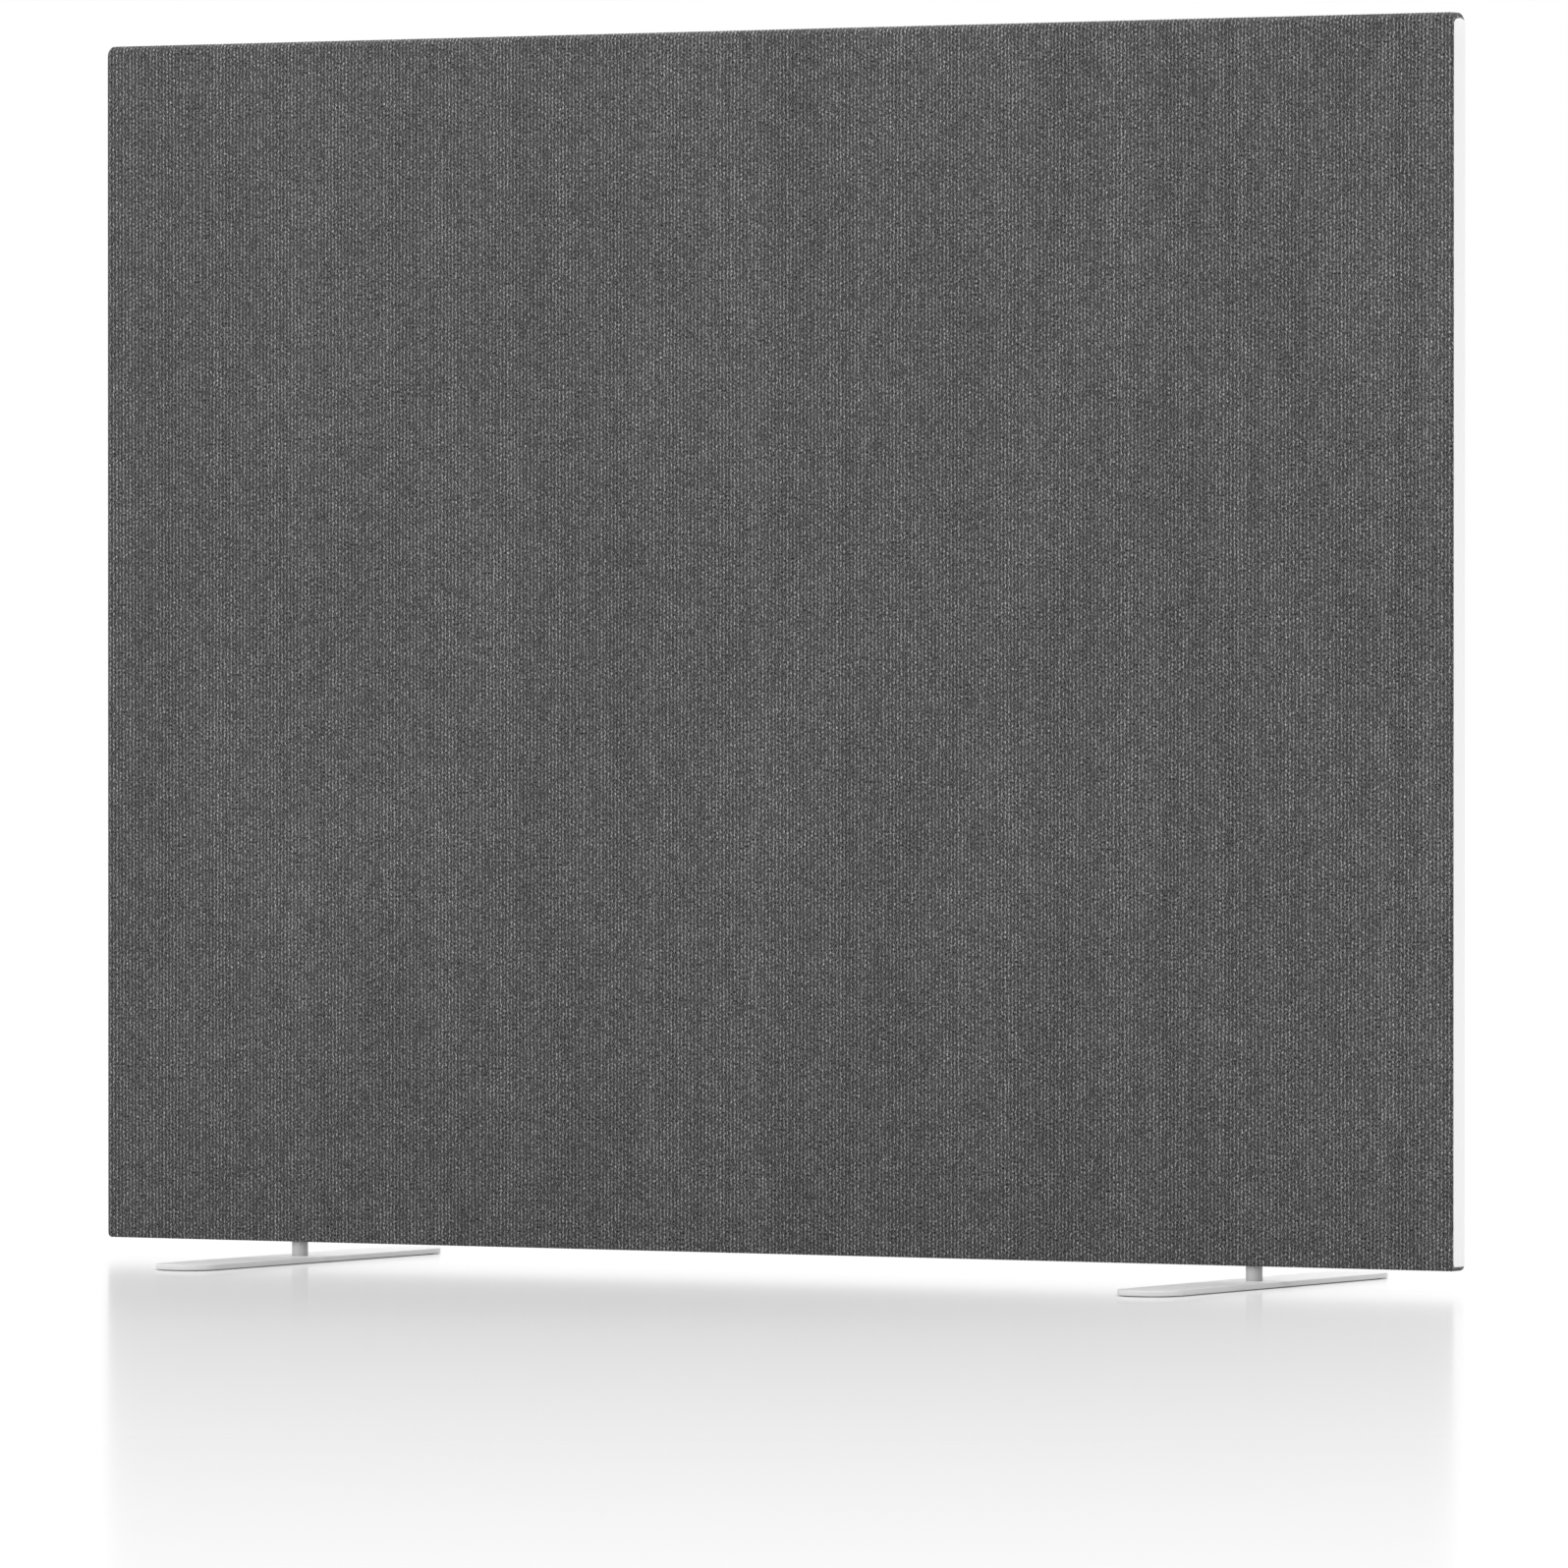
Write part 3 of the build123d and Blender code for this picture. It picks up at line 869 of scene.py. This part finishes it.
    def cloth(self):
        """The place of every point of the cloth and its place in the flat cut."""
        places = np.zeros((len(self.rows), len(self.columns), 3))
        for number, column in enumerate(self.columns):
            sink = self.sizes.rib_depth * (column["valley"] - 0.5)
            for step, row in enumerate(self.rows):
                y, z, out_y, out_z = self.point(column, row)
                places[step, number] = (column["x"], y - out_y * sink, z - out_z * sink)
        middle_column = places[:, len(self.columns) // 2]
        steps = np.linalg.norm(np.diff(middle_column, axis=0), axis=1)
        along = np.concatenate([[0.0], np.cumsum(steps)])
        across = np.array([column["flat"] + self.face for column in self.columns])
        return places, across, along


class SCREEN_OT_cover(bpy.types.Operator):
    """Knits the ribbed cover and wraps it round the frame"""

    bl_idname = "screen.cover"
    bl_label = "Ribbed cover"

    def execute(self, context):
        sizes = context.scene.screen_sizes
        wrap = Wrap(sizes, *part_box("fabric_cover"))
        places, across, along = wrap.cloth()
        rows, columns = places.shape[:2]
        piece = start(
            bpy.ops.mesh.primitive_grid_add,
            "ribbed_cover",
            x_subdivisions=columns - 1,
            y_subdivisions=rows - 1,
            size=1.0,
        )
        self.wrap(piece.data, places, across, along)
        apply_modifier(piece, "SOLIDIFY", thickness=sizes.cloth, offset=-1.0)
        for _, centre, low, high in foot_places():
            radius = (high.x - low.x) / 2 + POST_HOLE_GAP
            cut(piece, start_round("bore", radius, low.z, high.z + POST_HOLE_REACH, centre))
        finish = knit_finish(sizes, context.scene.screen_colours, wrap.pitch)
        complete(piece, finish, "panel", "fabric_cover", angle=60.0)
        flat = (across[-1] - across[0], along[-1])
        return {"FINISHED"}

    def wrap(self, mesh, places, across, along):
        """Moves the flat grid's points to their places round the panel."""
        rows, columns = places.shape[:2]
        flat = np.zeros(len(mesh.vertices) * 3)
        mesh.vertices.foreach_get("co", flat)
        flat = flat.reshape(-1, 3) + 0.5
        column = np.rint(flat[:, 0] * (columns - 1)).astype(int)
        row = np.rint(flat[:, 1] * (rows - 1)).astype(int)
        mesh.vertices.foreach_set("co", places[row, column].ravel())
        corner = np.zeros(len(mesh.loops), int)
        mesh.loops.foreach_get("vertex_index", corner)
        layer = mesh.uv_layers.active
        layer.name = "cloth"
        cut_place = np.stack([across[column[corner]], along[row[corner]]], axis=1)
        layer.data.foreach_set("uv", cut_place.ravel())
        mesh.update()


class SCREEN_OT_fillings(bpy.types.Operator):
    """Makes the felt sheets under the cover and the acoustic cores between the stiles"""

    bl_idname = "screen.fillings"
    bl_label = "Felt and cores"

    def execute(self, context):
        colours = context.scene.screen_colours
        felt = fibre_finish("needled_felt", colours.felt, 260.0, 0.25 * MM)
        wool = fibre_finish("acoustic_wool_mat", colours.wool, 140.0, 0.6 * MM)
        for name in ("front", "back"):
            node = name + "_wadding"
            piece = self.slab(name + "_felt_sheet", node, FELT_EDGE)
            complete(piece, felt, "panel", node)
        for side in SIDES:
            node = side + "_core_slab"
            piece = self.slab(side + "_acoustic_core", node, CORE_EDGE)
            complete(piece, wool, "panel", node)
        return {"FINISHED"}

    def slab(self, name, node, rounding):
        """A slab in the place of a node, with soft edges and its long faces cut up."""
        piece = start_box(name, *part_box(node))
        with editing(piece):
            pick("EDGE", lambda e: True)
            bevel(rounding, segments=3)
            pick("EDGE", lambda e: e.calc_length() > SLAB_LONG_EDGE)
            bpy.ops.mesh.subdivide(number_cuts=SLAB_CUTS)
        return piece


class SCREEN_OT_timber(bpy.types.Operator):
    """Gives the timber frame its grain and its screws their plating"""

    bl_idname = "screen.timber"
    bl_label = "Timber frame"

    def execute(self, context):
        colours = context.scene.screen_colours
        rails = timber_finish("planed_pine_rail", colours, True)
        stiles = timber_finish("planed_pine_stile", colours, False)
        for node in ("top_rail", "bottom_rail"):
            dress(node, rails)
        for node in ("left_stile", "centre_stile", "right_stile"):
            dress(node, stiles)
        zinc = metal_finish("zinc_wood_screw", colours.zinc, streak=1.0, low=0.28, high=0.45)
        brass = metal_finish("turned_brass", colours.brass, streak=8.0, low=0.2, high=0.35)
        dress("frame_screws", zinc)
        dress("threaded_inserts", brass)
        return {"FINISHED"}


class SCREEN_OT_strips(bpy.types.Operator):
    """Models the white edge strips with their crown, round ends and barbed tongue"""

    bl_idname = "screen.strips"
    bl_label = "Edge strips"

    def execute(self, context):
        sizes = context.scene.screen_sizes
        finish = strip_finish(context.scene.screen_colours)
        low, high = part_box("right_edge_strip")
        parts = [self.cap(sizes, low, high), self.tongue(sizes, low, high)]
        right = joined(parts, "right_white_strip")
        left = twin(right, "left_white_strip", Matrix.Rotation(math.pi, 4, "Z"))
        for side, piece in zip(SIDES, (left, right)):
            complete(piece, finish, "panel", side + "_edge_strip", angle=40.0)
        return {"FINISHED"}

    def cap(self, sizes, low, high):
        """The visible cap: rounded corners, a crowned face and rounded outer edges."""
        half = sizes.cap_width / 2
        inner = high.x - sizes.cap_thickness
        top = high.z - sizes.cap_top_gap
        ends = ((top, sizes.cap_top_corner, -1), (low.z, sizes.cap_low_corner, 1))
        piece = start_box("cap", (inner, -half, low.z), (high.x, half, top))
        with editing(piece):
            for level, radius, _ in ends:
                pick("EDGE", lambda e: runs_along(e, 0) and near(middle(e).z, level))
                bevel(radius, CAP_CORNER_STEPS)
            pick("EDGE", lambda e: all(near(v.co.x, high.x) for v in e.verts))
            bevel(sizes.cap_edge, CAP_EDGE_STEPS)
            flat = half - sizes.cap_edge
            for step in range(1, CROWN_STEPS):
                slice_all((0, flat * (2 * step / CROWN_STEPS - 1), 0), (0, 1, 0))
            for level, radius, inwards in ends:
                slice_all((0, 0, level + inwards * CAP_CUT_SHARE * radius), (0, 0, 1))
        for vertex in piece.data.vertices:
            below = top - vertex.co.z
            # The round end is pressed flatter, from a half circle to a half ellipse
            if below < sizes.cap_top_corner:
                vertex.co.z = top - below * sizes.cap_top_rise / sizes.cap_top_corner
            fall = sizes.cap_crown * (vertex.co.y / half) ** 2
            share = (vertex.co.x - inner) / sizes.cap_thickness
            vertex.co.x -= fall * share
        return piece

    def tongue(self, sizes, low, high):
        """The tongue's fir-tree section, drawn along the groove."""
        root = high.x - sizes.cap_thickness / 2
        seat = high.x - sizes.cap_thickness
        half = sizes.tongue / 2
        tip = seat - sizes.tongue_depth
        piece = start_box(
            "tongue",
            (tip, -half, low.z + sizes.tongue_end),
            (root, half, high.z - sizes.tongue_end),
        )
        feet = [tip + number * sizes.barb_pitch for number in range(BARB_COUNT)]
        crests = [foot + sizes.barb_length for foot in feet]
        steps = [crest + BARB_STEP for crest in crests]
        with editing(piece):
            for x in crests + steps + feet[1:]:
                slice_all((x, 0, 0), (1, 0, 0))
        for vertex in piece.data.vertices:
            if any(near(vertex.co.x, crest) for crest in crests):
                vertex.co.y = math.copysign(sizes.barb, vertex.co.y)
        return piece


class SCREEN_OT_staples(bpy.types.Operator):
    """Drives the row of staples that closes the cover under the bottom rail"""

    bl_idname = "screen.staples"
    bl_label = "Staples"

    def execute(self, context):
        sizes = context.scene.screen_sizes
        _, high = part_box("cover_staples")
        cover_low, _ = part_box("fabric_cover")
        first = self.staple(sizes, cover_low.z, high.z)
        reach = high.x - sizes.staple_crown / 2
        pitch = 2 * reach / (STAPLE_COUNT - 1)
        post_low, post_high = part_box("right_post")
        foot = (post_low.x + post_high.x) / 2
        clear = (post_high.x - post_low.x) / 2 + sizes.staple_crown
        copies = []
        for number in range(STAPLE_COUNT):
            x = number * pitch - reach
            if abs(abs(x) - foot) > clear:
                copies.append(twin(first, "staple", Matrix.Translation((x, 0, 0))))
        bpy.data.objects.remove(first)
        piece = joined(copies, "staple_row")
        zinc = context.scene.screen_colours.zinc
        finish = metal_finish("galvanised_wire", zinc, streak=1.0, low=0.3, high=0.5)
        complete(piece, finish, "panel", "cover_staples")
        return {"FINISHED"}

    def staple(self, sizes, level, top):
        """One staple at the middle: a flat crown, bent corners and two pointed legs."""
        half = sizes.staple_crown / 2
        wire = sizes.staple_wire / 2
        thick = sizes.staple_thickness
        piece = start_box("staple", (-half, -wire, level - thick), (half, wire, level))

        def is_bend(edge):
            """True for the crown's outer edges, at which the wire bends."""
            x, _, z = middle(edge)
            return runs_along(edge, 1) and near(abs(x), half) and near(z, level - thick)

        with editing(piece):
            for x in (thick - half, half - thick):
                slice_all((x, 0, 0), (1, 0, 0))
            pick("FACE", lambda f: f.normal.z > SAME_WAY and abs(middle(f).x) > half - thick)
            draw_up(top - level)
            pick("EDGE", is_bend)
            bevel(thick * STAPLE_BEND_SHARE, segments=4)
            pick("VERT", lambda v: near(v.co.z, top) and near(abs(v.co.x), half))
            bpy.ops.transform.translate(value=(0.0, 0.0, -thick))
        return piece


class SCREEN_OT_posts(bpy.types.Operator):
    """Turns the two round posts between the frame and the feet"""

    bl_idname = "screen.posts"
    bl_label = "Posts"

    def execute(self, context):
        sizes = context.scene.screen_sizes
        finish = powder_finish("grey_powder_coat", context.scene.screen_colours.post)
        for side, centre, low, high in foot_places():
            piece = self.post(sizes, side + "_round_post", centre, low, high)
            complete(piece, finish, "panel", side + "_post")
        return {"FINISHED"}

    def post(self, sizes, name, centre, low, high):
        """A round bar with a bore through it and eased ends."""
        radius = (high.x - low.x) / 2
        piece = start_round(name, radius, low.z, high.z, centre, POST_SIDES)
        with editing(piece):
            pick("EDGE", is_level)
            bevel(sizes.post_edge, segments=2)
            pick("FACE", lambda f: abs(f.normal.z) > SAME_WAY)
            inset = radius - sizes.post_edge - sizes.post_bore
            bpy.ops.mesh.inset(thickness=inset, use_even_offset=True)
            bpy.ops.mesh.bridge_edge_loops()
        return piece


class SCREEN_OT_plates(bpy.types.Operator):
    """Cuts the two flat foot plates with round corners and a countersink below"""

    bl_idname = "screen.plates"
    bl_label = "Foot plates"

    def execute(self, context):
        sizes = context.scene.screen_sizes
        finish = powder_finish("white_powder_coat", context.scene.screen_colours.plate)
        for side, centre, _, _ in foot_places():
            node = side + "_foot_plate"
            piece = self.plate(sizes, side + "_flat_foot", centre, *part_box(node))
            complete(piece, finish, side + "_foot", node)
        return {"FINISHED"}

    def plate(self, sizes, name, centre, low, high):
        """A plate with rounded corners and eased edges, bored and countersunk."""
        piece = start_box(name, low, high)
        with editing(piece):
            pick("EDGE", lambda e: runs_along(e, 2))
            bevel(sizes.plate_corner, PLATE_CORNER_STEPS)
            pick("EDGE", is_level)
            bevel(sizes.plate_edge, PLATE_EDGE_STEPS)
        gap = sizes.countersink_gap
        screw_low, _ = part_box("foot_screws")
        head = sizes.screw_head + gap
        shank = sizes.screw_shank + gap
        below = low.z - OVERRUN
        cone_top = screw_low.z + head - shank
        cut(piece, start_round("bore", shank, below, high.z + OVERRUN, centre))
        cut(piece, start_round("sink", head, screw_low.z, cone_top, centre, upper=shank))
        cut(piece, start_round("mouth", head, below, screw_low.z + OVERLAP, centre))
        return piece


class SCREEN_OT_foot_screws(bpy.types.Operator):
    """Turns the countersunk machine screws that clamp the feet"""

    bl_idname = "screen.foot_screws"
    bl_label = "Foot screws"

    def execute(self, context):
        sizes = context.scene.screen_sizes
        low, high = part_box("foot_screws")
        screws = [self.screw(sizes, centre, low.z, high.z) for _, centre, _, _ in foot_places()]
        piece = joined(screws, "foot_machine_screws")
        zinc = context.scene.screen_colours.zinc
        finish = metal_finish("zinc_machine_screw", zinc, streak=1.0, low=0.22, high=0.4)
        complete(piece, finish, "panel", "foot_screws")
        return {"FINISHED"}

    def screw(self, sizes, centre, low, high):
        """A cone for the head, drawn up into the shank, with a hexagon socket below."""
        head, shank = sizes.screw_head, sizes.screw_shank
        top = low + head - shank
        piece = start_round("screw", head, low, top, centre, SCREW_SIDES, shank)
        with editing(piece):
            pick("FACE", lambda f: f.normal.z > SAME_WAY)
            draw_up(high - top)
            pick("EDGE", lambda e: all(near(v.co.z, high) for v in e.verts))
            bevel(sizes.screw_end, segments=1)
            pick("EDGE", lambda e: all(near(v.co.z, low) for v in e.verts))
            bevel(sizes.countersink_gap, segments=2)
        corner = sizes.screw_socket / 2 / math.cos(math.pi / HEXAGON)
        inner = low + sizes.screw_socket_depth
        cut(piece, start_round("socket", corner, low - OVERRUN, inner, centre, HEXAGON))
        return piece


class SCREEN_OT_pads(bpy.types.Operator):
    """Moulds the round rubber pads under the foot plates"""

    bl_idname = "screen.pads"
    bl_label = "Rubber pads"

    def execute(self, context):
        sizes = context.scene.screen_sizes
        finish = rubber_finish(context.scene.screen_colours)
        for side in SIDES:
            node = side + "_foot_pads"
            low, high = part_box(node)
            first = self.pad(sizes, low, high)
            copies = []
            for x in (low.x + sizes.pad_radius, high.x - sizes.pad_radius):
                for y in (low.y + sizes.pad_radius, high.y - sizes.pad_radius):
                    copies.append(twin(first, "pad", Matrix.Translation((x, y, 0))))
            bpy.data.objects.remove(first)
            piece = joined(copies, side + "_rubber_pads")
            complete(piece, finish, side + "_foot", node)
        return {"FINISHED"}

    def pad(self, sizes, low, high):
        """One pad at the middle, with rounded rims and a shallow ring in its sole."""
        piece = start_round("pad", sizes.pad_radius, low.z, high.z, (0, 0), PAD_SIDES)
        ring = sizes.pad_radius * PAD_RING_WIDTH_SHARE
        with editing(piece):
            pick("EDGE", is_level)
            bevel(sizes.pad_edge, segments=3)
            pick("FACE", lambda f: f.normal.z < -SAME_WAY)
            bpy.ops.mesh.inset(thickness=sizes.pad_radius * PAD_RING_PLACE_SHARE)
            bpy.ops.mesh.inset(thickness=ring, depth=-sizes.pad_edge)
        return piece


class SCREEN_OT_stage(bpy.types.Operator):
    """Sets the white floor, the soft light and the camera of the photograph"""

    bl_idname = "screen.stage"
    bl_label = "Stage, light and camera"

    def execute(self, context):
        self.floor()
        self.world(context.scene)
        for name, strength, angle, way in LAMPS:
            lamp = bpy.data.lights.new(name, "SUN")
            lamp.energy = strength * math.pi
            lamp.angle = math.radians(angle)
            light = bpy.data.objects.new(name, lamp)
            light.rotation_mode = "QUATERNION"
            light.rotation_quaternion = (-Vector(way)).to_track_quat("-Z", "Y")
            context.scene.collection.objects.link(light)
        self.camera(context.scene)
        context.scene.view_settings.view_transform = "Standard"
        return {"FINISHED"}

    def floor(self):
        """A wide floor under the feet, which isn't part of the object."""
        floor = start(
            bpy.ops.mesh.primitive_grid_add,
            "studio_floor",
            x_subdivisions=8,
            y_subdivisions=8,
            size=FLOOR_SIZE,
        )
        floor.data.materials.append(floor_finish())

    def world(self, scene):
        """White where the camera, gloss or glass looks, and a plain level elsewhere."""
        world = bpy.data.worlds.new("studio_white")
        scene.world = world
        f = Finish(world)
        level = AMBIENT + f.seen() * (1.0 - AMBIENT)
        sky = f.node("ShaderNodeBackground", feeds={"Color": (1.0,) * 3, "Strength": level})
        f.surface(sky, "World")

    def camera(self, scene):
        """The photograph's camera, aimed so that no lens shift is needed."""
        lens = bpy.data.cameras.new("photo_camera")
        lens.lens = CAMERA_LENS
        lens.sensor_width = CAMERA_SENSOR
        lens.clip_end = 200.0
        focal = CAMERA_LENS / CAMERA_SENSOR * IMAGE_SIZE
        turn = math.radians(CAMERA_AZIMUTH)
        ahead = Vector((-math.sin(turn), math.cos(turn), 0.0))
        right = Vector((math.cos(turn), math.sin(turn), 0.0))
        middle_pixel = IMAGE_SIZE / 2
        aim = ahead + right * ((middle_pixel - LEVEL_POINT[0]) / focal)
        aim.z = -(middle_pixel - LEVEL_POINT[1]) / focal
        camera = bpy.data.objects.new("photo_camera", lens)
        camera.location = CAMERA_PLACE
        camera.rotation_mode = "QUATERNION"
        camera.rotation_quaternion = aim.to_track_quat("-Z", "Y")
        scene.collection.objects.link(camera)
        scene.camera = camera


class SCREEN_PT_panel(bpy.types.Panel):
    """Lists the screen's pieces, sizes and colours"""

    bl_idname = "SCREEN_PT_panel"
    bl_label = "Acoustic divider screen"
    bl_space_type = "VIEW_3D"
    bl_region_type = "UI"
    bl_category = "Screen"

    def draw(self, context):
        for piece in PIECES:
            self.layout.operator(piece.bl_idname)
        for group in (context.scene.screen_sizes, context.scene.screen_colours):
            box = self.layout.box()
            for name in group.__annotations__:
                box.prop(group, name)


PIECES = (
    SCREEN_OT_cover,
    SCREEN_OT_fillings,
    SCREEN_OT_timber,
    SCREEN_OT_strips,
    SCREEN_OT_staples,
    SCREEN_OT_posts,
    SCREEN_OT_plates,
    SCREEN_OT_foot_screws,
    SCREEN_OT_pads,
    SCREEN_OT_stage,
)


def register():
    """Registers the property groups, the operators and the panel."""
    for group in (ScreenSizes, ScreenColours, *PIECES, SCREEN_PT_panel):
        bpy.utils.register_class(group)
    bpy.types.Scene.screen_sizes = bpy.props.PointerProperty(type=ScreenSizes)
    bpy.types.Scene.screen_colours = bpy.props.PointerProperty(type=ScreenColours)


def unregister():
    """Takes the property groups, the operators and the panel away."""
    del bpy.types.Scene.screen_sizes
    del bpy.types.Scene.screen_colours
    for group in (SCREEN_PT_panel, *reversed(PIECES), ScreenColours, ScreenSizes):
        bpy.utils.unregister_class(group)


def main():
    """Makes every piece and the stage in order."""
    register()
    bpy.ops.screen.cover()
    bpy.ops.screen.fillings()
    bpy.ops.screen.timber()
    bpy.ops.screen.strips()
    bpy.ops.screen.staples()
    bpy.ops.screen.posts()
    bpy.ops.screen.plates()
    bpy.ops.screen.foot_screws()
    bpy.ops.screen.pads()
    bpy.ops.screen.stage()


if __name__ == "__main__":
    main()
